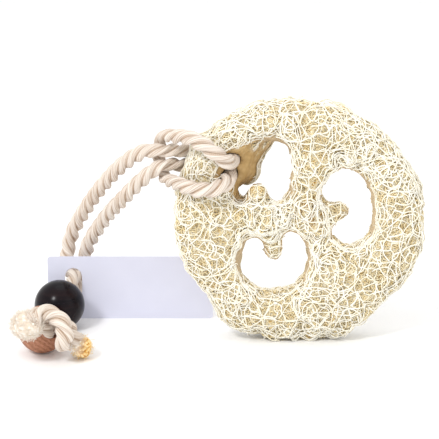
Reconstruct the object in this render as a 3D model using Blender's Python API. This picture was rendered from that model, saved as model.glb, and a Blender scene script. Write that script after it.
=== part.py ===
"""A slice of dried loofah gourd that stands on its rim, with a cotton rope hitched through it.

Both ends of the rope run through a card tag, a dark bead and a brown bead to a knot.
Metres, +Z up. The chambers run along Y and the front faces -Y. The origin is on the ground,
under the middle of the slice.
"""
from math import cos, pi, radians, sin

import bmesh
import bpy
import numpy as np
from mathutils import Vector
from mathutils.bvhtree import BVHTree

MM = 0.001
GAP = 0.3 * MM

# Loofah slice. Outlines are (x, z) in millimetres, seen from the front, anticlockwise from the foot.
SLICE_DEPTH = 24 * MM
RIM_ROUND = 9 * MM
RIM_ROUND_STEPS = 4
FOOT_SUNK = 1.5 * MM
FOOT_FLAT = 0.8 * MM
RIM_OUTLINE = [(0, 0), (14, 0.8), (25.6, 7), (35.6, 17), (45.4, 27.4), (52.2, 39.8), (53.2, 54),
               (51.9, 68.5), (45, 81.3), (35.4, 92), (24.9, 100.8), (12.2, 105.8), (-1.5, 108.2),
               (-15.8, 106.5), (-29.5, 102), (-41.2, 94.3), (-48.4, 82), (-53.2, 67.6),
               (-54.8, 53.5), (-53, 37.8), (-47, 24.2), (-38.2, 13.3), (-27.5, 5.5), (-14, 0.8)]
# Chambers: where each one opens at the front, and where it opens at the back.
UPPER_FRONT = [(-35, 74.4), (-33.8, 68.5), (-30.2, 62.4), (-25.8, 60.4), (-22.8, 63.4), (-23.4, 71.5),
               (-19.6, 78), (-15.2, 76), (-14.6, 66), (-10.4, 62.4), (-5.6, 66.8), (-5.4, 75),
               (-5.4, 86), (-8.5, 93.5), (-16, 93), (-27, 87), (-32.8, 80.6)]
UPPER_BACK = [(-16.8, 75), (-20, 71.6), (-25, 70), (-25.8, 63), (-22.4, 59.6), (-21.6, 64.6),
              (-18.2, 68), (-14.8, 65.4), (-14.4, 59.6), (-9.8, 57.6), (-5.4, 61), (-4.6, 70),
              (-4.8, 79), (-5.8, 84.5), (-8.5, 84.8), (-11.5, 82), (-14.8, 77.8)]
LOWER_FRONT = [(-15.8, 46.8), (-19, 49.8), (-23.6, 48), (-27.4, 42), (-27.8, 35), (-24, 28.2),
               (-16, 24.6), (-7.5, 24.8), (0, 28.1), (3.8, 35), (3.6, 43.4), (-1, 50.6), (-5.9, 51.9),
               (-7.8, 46.5), (-6.8, 40), (-11.8, 35.6), (-15.6, 40.2)]
LOWER_SHIFT = (0.4, -7)
LOWER_TAPER = 0.92
RIGHT_FRONT = [(19.4, 79.6), (13, 76.8), (7.8, 70.2), (7, 63.4), (12.4, 63), (19, 65), (22.4, 60.2),
               (19.8, 54.8), (11, 54), (11.8, 50.4), (17.5, 45.4), (24, 44.6), (29.7, 49),
               (31.5, 56.5), (30.8, 64.5), (28, 72.6), (23.8, 78.2)]
RIGHT_SHIFT = (0.4, -6.2)
RIGHT_TAPER = 0.94
# The raised net of the slice.
BODY_VOXEL = 1.5 * MM
BODY_SMOOTHING = 4
WANDER = 0.67 * MM
WANDER_SIZE = 5 * MM
WAVES = np.random.default_rng(5).normal(size=(6, 3))
WAVE_MIX = 1.7
NET_FACES = 1180
STRAND_WIDTH = 0.9 * MM
POCKET_DEPTH = 2.2 * MM
POCKET_SLOPE = 0.5
POCKET_SHARE = 0.22
POCKET_LEAST = 0.55
RELAX_ROUNDS = 4
RELAX_STEPS = 5

# Cotton rope. Each point is x, y, z and the rope's radius there, in millimetres.
ROPE_RADIUS = 3.5
ROPE_POINTS = 80
ROPE_SIDES_LEVEL = 2
GROOVE_EASE = 2 * GAP
GROOVE_FROM = -64
NEAR_END = [(-112.8, -44.8, 18.4, 5.0), (-112.4, -42.8, 19.4, 6.3), (-111.4, -40.2, 20.9, 5.4),
            (-109.4, -38.2, 22.4, 4.0), (-106.2, -37.4, 22.8, 3.4), (-102.0, -38.4, 22.0, 3.3),
            (-99.0, -40.6, 19.2, 3.3), (-98.4, -42.0, 15.2, 3.2), (-99.6, -41.6, 11.0, 3.0),
            (-102.2, -38.0, 7.9, 2.9), (-103.6, -33.4, 8.6, 2.8), (-104.8, -27.5, 10.8, 2.4)]
NEAR_BEADS = [(-114.4, -14.3, 4.8, 2.4), (-115.4, -4.5, 4.9, 2.9), (-109.9, 3.6, 6.3, 2.3),
              (-101.8, 20.4, 11.0, 2.3)]
NEAR_TAIL = [(-100.7, 27.7, 12.6, 3.5), (-98.6, 38.6, 13.4, 3.5), (-96.6, 43.4, 19.8, 3.5),
             (-95.6, 41.0, 29.0, 3.5), (-86.7, 29.5, 45.5, 3.5), (-76.8, 14.0, 59.2, 3.5),
             (-66.2, 4.2, 71.4, 3.4), (-59.5, 2.4, 76.3, 3.0)]
HITCH = [(-54.0, 5.0, 76.2, 3.0), (-46.6, 11.6, 73.9, 3.5), (-38.5, 15.8, 72.6, 3.5),
         (-33.0, 13.9, 72.7, 3.5), (-31.1, 9.0, 72.8, 3.5), (-31.1, -8.6, 72.8, 3.5),
         (-32.9, -13.6, 71.6, 3.5), (-38.2, -15.8, 69.9, 3.5), (-44.6, -14.4, 69.6, 3.5),
         (-50.0, -10.2, 70.2, 3.4), (-54.4, -3.2, 70.4, 3.1), (-57.9, 4.0, 70.2, 3.0),
         (-60.2, 9.2, 73.4, 3.0), (-61.2, 10.4, 79.4, 3.0), (-60.2, 9.2, 85.4, 3.0),
         (-57.6, 3.8, 89.0, 3.0), (-53.6, -2.8, 89.9, 3.2), (-48.2, -8.8, 90.6, 3.5),
         (-42.0, -14.0, 88.8, 3.5), (-36.6, -15.8, 85.4, 3.5), (-31.6, -13.4, 81.4, 3.5),
         (-30.0, -8.4, 80.2, 3.5), (-30.2, 9.0, 80.0, 3.5), (-32.3, 14.0, 79.9, 3.5),
         (-38.0, 15.9, 80.0, 3.5), (-45.6, 11.8, 80.8, 3.5), (-52.8, 5.2, 82.4, 3.1)]
FAR_TAIL = [(-58.6, 2.4, 82.8, 3.0), (-66.4, 4.0, 82.2, 3.4), (-77.0, 12.5, 74.4, 3.5),
            (-92.9, 32.0, 53.2, 3.5), (-103.2, 44.8, 33.4, 3.5), (-104.8, 42.4, 24.4, 3.5),
            (-102.8, 35.6, 20.7, 3.5), (-100.7, 27.7, 19.9, 3.5)]
FAR_BEADS = [(-101.6, 21.6, 16.5, 2.3), (-109.6, 5.0, 11.2, 2.3), (-115.6, -4.6, 10.6, 2.9),
             (-115.4, -12.9, 9.4, 2.4)]
FAR_END = [(-105.8, -26.1, 15.4, 2.4), (-101.4, -31.2, 16.8, 2.9), (-97.3, -31.8, 13.8, 3.0),
           (-95.4, -30.6, 10.0, 3.2), (-94.0, -29.6, 7.2, 4.7), (-92.7, -28.8, 4.4, 5.0),
           (-91.8, -28.2, 2.0, 3.4)]

# Beads and tag
DARK_CENTRE = (-105.7, 12.0, 11.1)
DARK_RADIUS = 11.1 * MM
DARK_BORE_ALONG = (-0.42, -0.87, -0.26)
BROWN_CENTRE = (-110.1, -20.2, 10.1)
BROWN_RADIUS = 10.1 * MM
BROWN_BORE_ALONG = (0.55, -0.76, 0.35)
BORE_RADIUS = 5.3 * MM
BORE_EASE = 0.5 * MM
BEAD_SIDES = 28
BEAD_ARC_STEPS = 12
# All of it is moved this far, so that the slice's middle comes over the origin.
TO_MIDDLE = 0.6 * MM
CARD_LEFT = -112.3 * MM
CARD_LENGTH = 74.5 * MM
CARD_HEIGHT = 29 * MM
CARD_THICK = 0.6 * MM
CARD_PLACE = 27.7 * MM
CARD_CORNER = 1.5 * MM
SLOT_CENTRE = (-100.7 * MM, 16.25 * MM)
SLOT_RADIUS = 3.85 * MM
SLOT_HALF_STRAIGHT = 3.65 * MM
CARD_ARC_STEPS = 6


def clear_scene():
    for obj in list(bpy.data.objects):
        bpy.data.objects.remove(obj, do_unlink=True)


def finish(name, colour, roughness):
    """A plain material with the piece's own colour."""
    material = bpy.data.materials.new(name)
    material.use_nodes = True
    shader = material.node_tree.nodes["Principled BSDF"]
    shader.inputs["Base Color"].default_value = (*colour, 1.0)
    shader.inputs["Roughness"].default_value = roughness
    return material


def add_object(name, data, material=None):
    obj = bpy.data.objects.new(name, data)
    bpy.context.scene.collection.objects.link(obj)
    if material:
        data.materials.append(material)
    return obj


def mesh_from(name, bm):
    mesh = bpy.data.meshes.new(name)
    bmesh.ops.recalc_face_normals(bm, faces=bm.faces)
    bm.to_mesh(mesh)
    bm.free()
    return mesh


def blend(p, q, t_p, t_q, t):
    return (p * (t_q - t) + q * (t - t_p)) / (t_q - t_p)


def curve_through(points, steps, closed):
    """A centripetal Catmull-Rom curve through the points, with so many steps in each interval."""
    pts = np.array(points, dtype=float)
    if closed:
        padded = np.vstack([pts[-1:], pts, pts[:2]])
    else:
        padded = np.vstack([2 * pts[0] - pts[1], pts, 2 * pts[-1] - pts[-2]])
    out = []
    for a, b, c, d in zip(padded, padded[1:], padded[2:], padded[3:]):
        gaps = [np.sqrt(np.linalg.norm(q - p)) for p, q in ((a, b), (b, c), (c, d))]
        t0, t1, t2, t3 = np.concatenate([[0], np.cumsum(gaps)])
        for step in range(steps):
            t = t1 + (t2 - t1) * step / steps
            ab, bc, cd = blend(a, b, t0, t1, t), blend(b, c, t1, t2, t), blend(c, d, t2, t3, t)
            abc, bcd = blend(ab, bc, t0, t2, t), blend(bc, cd, t1, t3, t)
            out.append(blend(abc, bcd, t1, t2, t))
    if not closed:
        out.append(pts[-1])
    return np.array(out)


def loft(name, rings):
    """A closed body through rings of equal count, each a list of places, with flat ends."""
    bm = bmesh.new()
    loops = [[bm.verts.new(place) for place in ring] for ring in rings]
    for low, high in zip(loops, loops[1:]):
        for i in range(len(low)):
            j = (i + 1) % len(low)
            bm.faces.new((low[i], low[j], high[j], high[i]))
    bm.faces.new(loops[0])
    bm.faces.new(loops[-1])
    bmesh.ops.triangulate(bm, faces=[f for f in bm.faces if len(f.verts) > 4])
    return mesh_from(name, bm)


def ring_at(outline, y):
    return [(x * MM, y, z * MM) for x, z in outline]


def inset_outline(outline, distance):
    """The outline moved inwards, square to itself. It runs anticlockwise."""
    along = np.roll(outline, -1, axis=0) - np.roll(outline, 1, axis=0)
    along /= np.linalg.norm(along, axis=1)[:, None]
    inward = np.column_stack([-along[:, 1], along[:, 0]])
    return outline + inward * distance


def slice_body():
    """The slice with its round rim and no chambers yet."""
    outline = curve_through(RIM_OUTLINE, 4, closed=True)
    outline[:, 1] -= FOOT_SUNK / MM
    half = SLICE_DEPTH / 2
    rings = []
    for step in range(RIM_ROUND_STEPS + 1):
        turn = pi / 2 * step / RIM_ROUND_STEPS
        inset = RIM_ROUND * (1 - sin(turn)) / MM
        y = -half + RIM_ROUND * (1 - cos(turn))
        rings.append(ring_at(inset_outline(outline, inset), y))
    back = [[(x, -y, z) for x, y, z in ring] for ring in reversed(rings)]
    return loft("slice_body", rings + back)


def chamber_cutter(name, front, back):
    """A chamber from the front outline to the back one, carried on a little past both faces."""
    front_curve = curve_through(front, 3, closed=True)
    back_curve = curve_through(back, 3, closed=True)
    past = 0.1
    lean = back_curve - front_curve
    half = SLICE_DEPTH / 2
    rings = [ring_at(front_curve - lean * past, -half * (1 + 2 * past)),
             ring_at(back_curve + lean * past, half * (1 + 2 * past))]
    return loft(name, rings)


def shrunk(outline, shift, taper):
    """The outline drawn in towards its middle and moved."""
    pts = np.array(outline, dtype=float)
    middle = pts.mean(axis=0)
    return middle + (pts - middle) * taper + np.array(shift)


def cut(obj, cutter, solver='EXACT'):
    modifier = obj.modifiers.new("cut_" + cutter.name, 'BOOLEAN')
    modifier.operation = 'DIFFERENCE'
    modifier.solver = solver
    modifier.object = cutter
    cutter.hide_render = True
    cutter.display_type = 'WIRE'


def as_evaluated(obj):
    """The object's mesh with its modifiers applied."""
    bpy.context.view_layer.update()
    depsgraph = bpy.context.evaluated_depsgraph_get()
    return bpy.data.meshes.new_from_object(obj.evaluated_get(depsgraph))


def welded(mesh):
    """Joins the filled ends of a curve's mesh to its wall."""
    bm = bmesh.new()
    bm.from_mesh(mesh)
    bmesh.ops.remove_doubles(bm, verts=bm.verts, dist=0.001 * MM)
    bm.to_mesh(mesh)
    bm.free()
    return mesh


def rope_route():
    """The rope's centre line and radius, in millimetres, on one smooth curve."""
    points = NEAR_END + NEAR_BEADS + NEAR_TAIL + HITCH + FAR_TAIL + FAR_BEADS + FAR_END
    return curve_through(points, 16, closed=False)


def spread(curve, count):
    """So many points of a fine curve, closer together where it bends."""
    steps = np.linalg.norm(np.diff(curve[:, :3], axis=0), axis=1)
    heading = np.diff(curve[:, :3], axis=0) / steps[:, None]
    turn = np.zeros(len(steps))
    turn[1:] = np.arccos(np.clip((heading[1:] * heading[:-1]).sum(axis=1), -1, 1))
    longest = 4 * ROPE_RADIUS
    sharpest = radians(24)
    cost = np.concatenate([[0], np.cumsum(steps / longest + turn / sharpest)])
    even = np.linspace(0, cost[-1], count)
    return np.column_stack([np.interp(even, cost, curve[:, k]) for k in range(4)])


def tube(name, points, radius_extra=0.0):
    """A rope as a bevelled curve with filled ends. The points are x, y, z and radius."""
    curve = bpy.data.curves.new(name, 'CURVE')
    curve.dimensions = '3D'
    curve.bevel_depth = ROPE_RADIUS * MM
    curve.bevel_resolution = ROPE_SIDES_LEVEL
    curve.use_fill_caps = True
    spline = curve.splines.new('POLY')
    spline.points.add(len(points) - 1)
    for point, (x, y, z, radius) in zip(spline.points, points):
        point.co = (x * MM, y * MM, z * MM, 1)
        point.radius = (radius + radius_extra / MM) / ROPE_RADIUS
    return add_object(name, curve)


def wander(place):
    """How far the slice's surface strays at a place, from a few slow waves that cross."""
    across = WAVES @ np.array(place) / WANDER_SIZE
    return Vector(WANDER * np.sin(across[:3] + WAVE_MIX * np.sin(across[3:])))


def in_set_order(mesh):
    """The same mesh with its corners and faces sorted by place, so that what follows never varies."""
    places = np.array([vert.co for vert in mesh.vertices])
    order = np.lexsort(np.round(places, 6).T)
    rank = np.empty(len(order), dtype=int)
    rank[order] = np.arange(len(order))
    faces = []
    for face in mesh.polygons:
        corners = [int(rank[i]) for i in face.vertices]
        first = corners.index(min(corners))
        faces.append(corners[first:] + corners[:first])
    faces.sort()
    ordered = bpy.data.meshes.new(mesh.name)
    ordered.from_pydata(places[order].tolist(), [], faces)
    return ordered


def cell_corners(corner, knots):
    """The knots round one corner of the mesh, in order."""
    start = corner.link_loops[0]
    loop = start
    around = []
    while True:
        around.append(knots[loop.face.index])
        loop = loop.link_loop_prev.link_loop_radial_next
        if loop == start:
            return around


def net_over(mesh):
    """A net of raised strands: one sunken pocket for each corner of the mesh."""
    bm = bmesh.new()
    bm.from_mesh(mesh)
    bmesh.ops.triangulate(bm, faces=bm.faces)
    bm.normal_update()
    solid = BVHTree.FromBMesh(bm)
    net = bmesh.new()
    knots = {face.index: net.verts.new(face.calc_center_median()) for face in bm.faces}
    for corner in bm.verts:
        around = cell_corners(corner, knots)
        middle = sum((v.co for v in around), Vector()) / len(around)
        reach = sum((v.co - middle).length for v in around) / len(around)
        inward = -corner.normal
        hit = solid.ray_cast(middle + inward * MM, inward)[3]
        thick = hit + MM if hit else SLICE_DEPTH
        depth = min(POCKET_DEPTH, POCKET_SLOPE * reach, POCKET_SHARE * thick)
        if middle.z < FOOT_FLAT:
            depth = 0
        keep = max(1 - STRAND_WIDTH / reach, POCKET_LEAST)
        inner = [net.verts.new(middle + (v.co - middle) * keep + inward * depth) for v in around]
        for i, vert in enumerate(around):
            j = (i + 1) % len(around)
            net.faces.new((vert, around[j], inner[j], inner[i]))
        net.faces.new(inner)
    bm.free()
    bmesh.ops.triangulate(net, faces=net.faces)
    return mesh_from("loofah", net)


def largest_part(mesh):
    """Drops loose scraps and keeps the one large body."""
    bm = bmesh.new()
    bm.from_mesh(mesh)
    left = set(bm.verts)
    parts = []
    while left:
        found = {left.pop()}
        edge_of = list(found)
        while edge_of:
            vert = edge_of.pop()
            for edge in vert.link_edges:
                other = edge.other_vert(vert)
                if other in left:
                    left.remove(other)
                    found.add(other)
                    edge_of.append(other)
        parts.append(found)
    parts.sort(key=len)
    for scrap in parts[:-1]:
        bmesh.ops.delete(bm, geom=list(scrap), context='VERTS')
    bm.to_mesh(mesh)
    bm.free()


def make_loofah(rope_points):
    body = add_object("slice_body", slice_body())
    chambers = [("upper_chamber", UPPER_FRONT, UPPER_BACK),
                ("lower_chamber", LOWER_FRONT, shrunk(LOWER_FRONT, LOWER_SHIFT, LOWER_TAPER)),
                ("right_chamber", RIGHT_FRONT, shrunk(RIGHT_FRONT, RIGHT_SHIFT, RIGHT_TAPER))]
    cutters = []
    for name, front, back in chambers:
        cutters.append(add_object(name, chamber_cutter(name, front, back)))
        cut(body, cutters[-1])
    remesh = body.modifiers.new("even", 'REMESH')
    remesh.mode = 'VOXEL'
    remesh.voxel_size = BODY_VOXEL
    smooth = body.modifiers.new("soften", 'SMOOTH')
    smooth.iterations = BODY_SMOOTHING
    even = in_set_order(as_evaluated(body))
    for vert in even.vertices:
        vert.co += wander(vert.co)
    full = add_object("full", even)
    thinned = add_object("thinned", even.copy())
    decimate = thinned.modifiers.new("thin", 'DECIMATE')
    decimate.ratio = NET_FACES / (2 * len(even.polygons))
    for _ in range(RELAX_ROUNDS):
        relax = thinned.modifiers.new("relax", 'SMOOTH')
        relax.iterations = RELAX_STEPS
        wrap = thinned.modifiers.new("keep_on", 'SHRINKWRAP')
        wrap.target = full
    net = net_over(as_evaluated(thinned))
    for vert in net.vertices:
        vert.co.z = max(vert.co.z, 0.0)
    loofah = add_object("loofah", net, finish("loofah_fibre", (0.86, 0.80, 0.62), 0.85))
    middle = np.array(HITCH[len(HITCH) // 2][:3])
    bight = int(np.argmin(np.linalg.norm(rope_points[:, :3] - middle, axis=1)))
    grooves = []
    for name, run in (("lower_groove", rope_points[:bight + 1]), ("upper_groove", rope_points[bight:])):
        near_slice = [point for point in run if point[0] > GROOVE_FROM]
        route = tube(name, near_slice, radius_extra=GROOVE_EASE)
        groove = add_object(name, welded(as_evaluated(route)))
        grooves += [route, groove]
        cut(loofah, groove, solver='MANIFOLD')
    final = as_evaluated(loofah)
    loofah.modifiers.clear()
    largest_part(final)
    loofah.data = final
    for helper in [body, full, thinned] + grooves + cutters:
        bpy.data.objects.remove(helper, do_unlink=True)
    return loofah


def make_rope(points):
    rope = tube("cotton_rope", points)
    rope.data.materials.append(finish("cotton", (0.83, 0.76, 0.66), 0.9))
    return rope


def make_bead(name, centre, radius, bore_along, material):
    """A turned ball with a bore: its section is spun round the bore."""
    bm = bmesh.new()
    mouth = BORE_RADIUS + BORE_EASE
    start = np.arcsin(mouth / radius)
    section = []
    for step in range(BEAD_ARC_STEPS + 1):
        turn = start + (pi - 2 * start) * step / BEAD_ARC_STEPS
        section.append((radius * sin(turn), radius * cos(turn)))
    mouth_at = section[0][1] - BORE_EASE
    section.append((BORE_RADIUS, -mouth_at))
    section.append((BORE_RADIUS, mouth_at))
    rings = []
    for side in range(BEAD_SIDES):
        turn = 2 * pi * side / BEAD_SIDES
        rings.append([bm.verts.new((r * cos(turn), r * sin(turn), z)) for r, z in section])
    for ring, other in zip(rings, rings[1:] + rings[:1]):
        for i in range(len(section)):
            j = (i + 1) % len(section)
            bm.faces.new((ring[i], ring[j], other[j], other[i]))
    bmesh.ops.triangulate(bm, faces=bm.faces)
    mesh = mesh_from(name, bm)
    mesh.shade_smooth()
    mesh.set_sharp_from_angle(angle=radians(40))
    bead = add_object(name, mesh, material)
    bead.location = Vector(centre) * MM
    bead.rotation_mode = 'QUATERNION'
    bead.rotation_quaternion = Vector(bore_along).to_track_quat('Z', 'Y')
    return bead


def arc(centre, radius, start, end):
    x, z = centre
    out = []
    for step in range(CARD_ARC_STEPS + 1):
        turn = radians(start + (end - start) * step / CARD_ARC_STEPS)
        out.append((x + radius * cos(turn), z + radius * sin(turn)))
    return out


def make_card():
    """A card with round corners and one upright slot, as thick as card is."""
    left, right, top = CARD_LEFT, CARD_LEFT + CARD_LENGTH, CARD_HEIGHT
    r = CARD_CORNER
    edge = (arc((right - r, r), r, -90, 0) + arc((right - r, top - r), r, 0, 90)
            + arc((left + r, top - r), r, 90, 180) + arc((left + r, r), r, 180, 270))
    x, z = SLOT_CENTRE
    slot = (arc((x, z + SLOT_HALF_STRAIGHT), SLOT_RADIUS, 0, 180)
            + arc((x, z - SLOT_HALF_STRAIGHT), SLOT_RADIUS, 180, 360))
    bm = bmesh.new()
    for ring in (edge, slot):
        verts = [bm.verts.new((px, -CARD_THICK / 2, pz)) for px, pz in ring]
        for a, b in zip(verts, verts[1:] + verts[:1]):
            bm.edges.new((a, b))
    bmesh.ops.triangle_fill(bm, edges=bm.edges, use_beauty=True)
    grown = bmesh.ops.extrude_face_region(bm, geom=list(bm.faces))
    moved = [v for v in grown["geom"] if isinstance(v, bmesh.types.BMVert)]
    bmesh.ops.translate(bm, verts=moved, vec=(0, CARD_THICK, 0))
    card = add_object("tag_card", mesh_from("tag_card", bm), finish("card", (0.78, 0.78, 0.87), 0.6))
    card.location.y = CARD_PLACE
    return card


def main():
    clear_scene()
    rope_points = spread(rope_route(), ROPE_POINTS)
    make_loofah(rope_points)
    make_rope(rope_points)
    dark_gloss = finish("dark_gloss", (0.02, 0.015, 0.02), 0.2)
    make_bead("bead_dark", DARK_CENTRE, DARK_RADIUS, DARK_BORE_ALONG, dark_gloss)
    bare_wood = finish("bare_wood", (0.42, 0.22, 0.12), 0.6)
    make_bead("bead_brown", BROWN_CENTRE, BROWN_RADIUS, BROWN_BORE_ALONG, bare_wood)
    make_card()
    for obj in bpy.data.objects:
        obj.location.x += TO_MIDDLE


main()
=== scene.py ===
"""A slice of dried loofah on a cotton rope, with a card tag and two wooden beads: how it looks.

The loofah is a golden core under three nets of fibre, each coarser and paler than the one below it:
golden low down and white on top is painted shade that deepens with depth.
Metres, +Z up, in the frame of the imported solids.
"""
from math import pi, radians

import bpy
import numpy as np
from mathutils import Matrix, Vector
from mathutils.bvhtree import BVHTree
from mathutils.kdtree import KDTree


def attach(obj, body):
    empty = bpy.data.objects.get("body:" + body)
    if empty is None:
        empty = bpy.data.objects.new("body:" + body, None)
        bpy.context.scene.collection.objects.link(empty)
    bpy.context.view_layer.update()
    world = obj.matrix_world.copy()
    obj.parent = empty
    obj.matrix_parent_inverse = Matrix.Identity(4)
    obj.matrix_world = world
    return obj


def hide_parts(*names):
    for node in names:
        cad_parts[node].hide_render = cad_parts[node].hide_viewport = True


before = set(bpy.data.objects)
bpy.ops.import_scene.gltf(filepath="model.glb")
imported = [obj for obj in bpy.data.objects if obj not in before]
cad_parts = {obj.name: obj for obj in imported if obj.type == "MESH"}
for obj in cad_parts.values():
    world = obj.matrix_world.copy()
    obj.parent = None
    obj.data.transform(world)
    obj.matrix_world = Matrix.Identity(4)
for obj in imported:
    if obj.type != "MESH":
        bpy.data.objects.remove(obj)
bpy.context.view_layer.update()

MM = 0.001
UP = np.array([0.0, 0.0, 1.0])
ACROSS_SLICE = np.array([0.0, 1.0, 0.0])

# Picture and camera
PICTURE_SIDE = 439
PIXEL = 0.43 * MM
CAMERA_AWAY = 0.7
CAMERA_PLACE = (-0.0342, -0.6792, 0.2224)
CAMERA_DOWN = radians(14)
SENSOR = 36

# Rope: its thickness and lay, then its route from the frayed end to the golden tuft. Each point of
# the route is x, y, z and the rope's radius there, in millimetres, and all of it is moved TO_MIDDLE.
TO_MIDDLE = 0.6
ROPE_THICK = 7 * MM
ROPE_THICKEST = 4.1 * MM
ROPE_PITCH = 20 * MM
ROPE_STEP = 0.6 * MM
ROPE_SIDES = 48
NEAR_END = [(-112.4, -42.8, 19.4, 4.1), (-111.4, -40.2, 20.9, 4.0), (-109.4, -38.2, 22.4, 3.9),
            (-106.2, -37.4, 22.6, 3.9), (-102.2, -38.2, 21.4, 3.9), (-99.4, -39.8, 18.6, 3.9),
            (-98.4, -40.4, 14.8, 3.8), (-98.9, -39.6, 11.4, 3.7), (-100.0, -36.8, 8.6, 3.2),
            (-99.8, -32.8, 8.2, 2.8), (-99.6, -31.0, 11.0, 2.7), (-102.0, -29.8, 13.8, 2.6)]
NEAR_BEADS = [(-114.4, -14.3, 4.8, 2.4), (-115.4, -4.5, 4.9, 2.9), (-109.9, 3.6, 6.3, 2.3),
              (-101.8, 20.4, 11.0, 2.3)]
NEAR_TAIL = [(-100.7, 27.7, 12.6, 3.5), (-98.6, 38.6, 13.4, 3.5), (-96.6, 43.4, 19.8, 3.5),
             (-95.6, 41.0, 29.0, 3.5), (-86.7, 29.5, 45.5, 3.5), (-76.8, 14.0, 59.2, 3.5),
             (-66.2, 4.2, 71.4, 3.4), (-59.5, 2.4, 76.3, 3.0)]
HITCH = [(-54.0, 5.0, 76.2, 3.0), (-46.6, 11.6, 73.9, 3.5), (-38.5, 15.8, 72.6, 3.5),
         (-33.0, 13.9, 72.7, 3.5), (-31.1, 9.0, 72.8, 3.5), (-31.1, -8.6, 72.8, 3.5),
         (-32.9, -13.6, 71.6, 3.5), (-38.2, -15.8, 69.9, 3.5), (-44.6, -14.4, 69.6, 3.5),
         (-50.0, -10.2, 70.2, 3.4), (-54.4, -3.2, 70.4, 3.1), (-57.9, 4.0, 70.2, 3.0),
         (-60.2, 9.2, 73.4, 3.0), (-61.2, 10.4, 79.4, 3.0), (-60.2, 9.2, 85.4, 3.0),
         (-57.6, 3.8, 89.0, 3.0), (-53.6, -2.8, 89.9, 3.2), (-48.2, -8.8, 90.6, 3.5),
         (-42.0, -14.0, 88.8, 3.5), (-36.6, -15.8, 85.4, 3.5), (-31.6, -13.4, 81.4, 3.5),
         (-30.0, -8.4, 80.2, 3.5), (-30.2, 9.0, 80.0, 3.5), (-32.3, 14.0, 79.9, 3.5),
         (-38.0, 15.9, 80.0, 3.5), (-45.6, 11.8, 80.8, 3.5), (-52.8, 5.2, 82.4, 3.1)]
FAR_TAIL = [(-58.6, 2.4, 82.8, 3.0), (-66.4, 4.0, 82.2, 3.4), (-77.0, 12.5, 74.4, 3.5),
            (-92.9, 32.0, 53.2, 3.5), (-103.2, 44.8, 33.4, 3.5), (-104.8, 42.4, 24.4, 3.5),
            (-102.8, 35.6, 20.7, 3.5), (-100.7, 27.7, 19.9, 3.5)]
FAR_BEADS = [(-101.6, 21.6, 16.5, 2.3), (-109.6, 5.0, 11.2, 2.3), (-115.6, -4.6, 10.6, 2.9),
             (-115.4, -12.9, 9.4, 2.4)]
FAR_END = [(-105.8, -26.1, 15.4, 2.4), (-101.4, -31.2, 16.8, 3.0), (-97.3, -31.8, 13.8, 3.4),
           (-95.4, -30.6, 10.0, 3.5), (-94.0, -29.6, 7.2, 3.4), (-92.9, -29.0, 5.2, 3.2)]
# A loose strand of the frayed end, which lies over the brown bead's bore.
LOOSE_STRAND = [(-112.0, -36.4, 20.6, 2.2), (-110.2, -35.6, 19.0, 2.6), (-108.6, -35.0, 17.0, 2.8),
                (-107.2, -34.4, 15.0, 2.8), (-106.0, -33.6, 13.2, 2.5), (-105.0, -32.6, 11.8, 1.8),
                (-104.4, -31.8, 11.0, 0.8)]
LOOSE_PITCH = 12 * MM

# Loofah: the smooth surface that the fibres follow, in steps of BASE_VOXEL. Its spots are x and z.
BASE_VOXEL = 1.1 * MM
BASE_SMOOTHING = 9
BASE_GROWTH = 0.8 * MM
SLICE_MIDDLE = (0, 0.053)
# The rim lies past RIM_FROM from the middle. Along y, from the slice's middle plane, the lips of the
# chambers lie past LIP_FROM and the smooth chamber walls end at WALL_FROM.
RIM_FROM = 0.046
LIP_FROM = 5 * MM
WALL_FROM = 7.8 * MM
WALL_FADE = 2.4 * MM
# The upper chamber's wall is smooth further out towards its mouth.
UPPER_WALL = (-0.028, 0.077)
UPPER_WALL_REACH = 13 * MM
UPPER_WALL_MORE = 5 * MM
# The hub, where the three walls meet: it is deeper between its strands, has fewer of them, and more of
# its pores are painted dark with shade.
HUB = (0.0055, 0.057)
HUB_REACH = 11 * MM
HUB_DEPTH = 0.8 * MM
HUB_GONE = 0.6
# How far the core lies below the surface, and the waves that roughen it.
CORE_DEPTH = 0.7 * MM
ROUGH_DEPTH = 0.2 * MM
ROUGH_WAVES = np.random.default_rng(3).normal(size=(3, 3)) * 900
# The rope comes near the slice only left of ROPE_REACH, and the loofah keeps ROPE_EASE off it.
ROPE_REACH = -22 * MM
ROPE_EASE = 0.3 * MM
# Masses that are added to it, as rows of balls: x, z and radius in millimetres, then the row's places
# along y and its step in x and z from each place to the next. They are the upper chamber's tongue,
# with its wider head, and the ledge of the wall left of it.
TONGUE = [(-20.2, 68.2, 1.8), (-17.4, 68.4, 1.8), (-18.8, 65.6, 2.2)]
LEDGE = [(-15.6, 83.8, 2.8), (-18.5, 79.0, 2.8), (-20.1, 74.9, 2.8), (-20.1, 72.2, 2.8),
         (-21.2, 70.2, 2.6), (-23.0, 69.3, 2.6)]
ADDED = [(TONGUE, (-9.5, -6.5, -3.5), (0, -1.08)), (LEDGE, (10, 6, 2), (-2.5, 0.6))]
# The flatter stretch of the rim at the lower left, past which the card's corner shows.
FLAT_RIM = (-0.045, 0.0205)
FLAT_RIM_REACH = 13 * MM
FLAT_RIM_DEPTH = 3.4 * MM
# Deep pockets on the front: x, z, how wide and how deep, in millimetres.
POCKETS = [(13.5, 85, 5, 2.2), (0.8, 68, 1.6, 2.2), (-14, 22, 1.6, 2.2), (10, 36, 1.6, 2.2)]
# Nets. Each cell of the coarse net is a small hollow, deepest in its middle. The deep colour is
# painted shade in the middle of each hollow and on the underside of every strand.
CELL_SWEEPS = 1
FINE_CELLS = 8200
MIDDLE_CELLS = 4000
COARSE_CELLS = 1300
HOLLOW_EDGE = 0.5 * MM
HOLLOW_SLOPE = 1.5 * MM
HOLLOW_DEPTH = 0.6 * MM
UNDERSIDE_SHADE = 1.3
# Loose fibres: the step along the surface, the steps in one bit, and how much they curl.
FIBRE_STEP = 1.0 * MM
FIBRE_BIT = 6
FIBRE_CURL = 0.12
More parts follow.
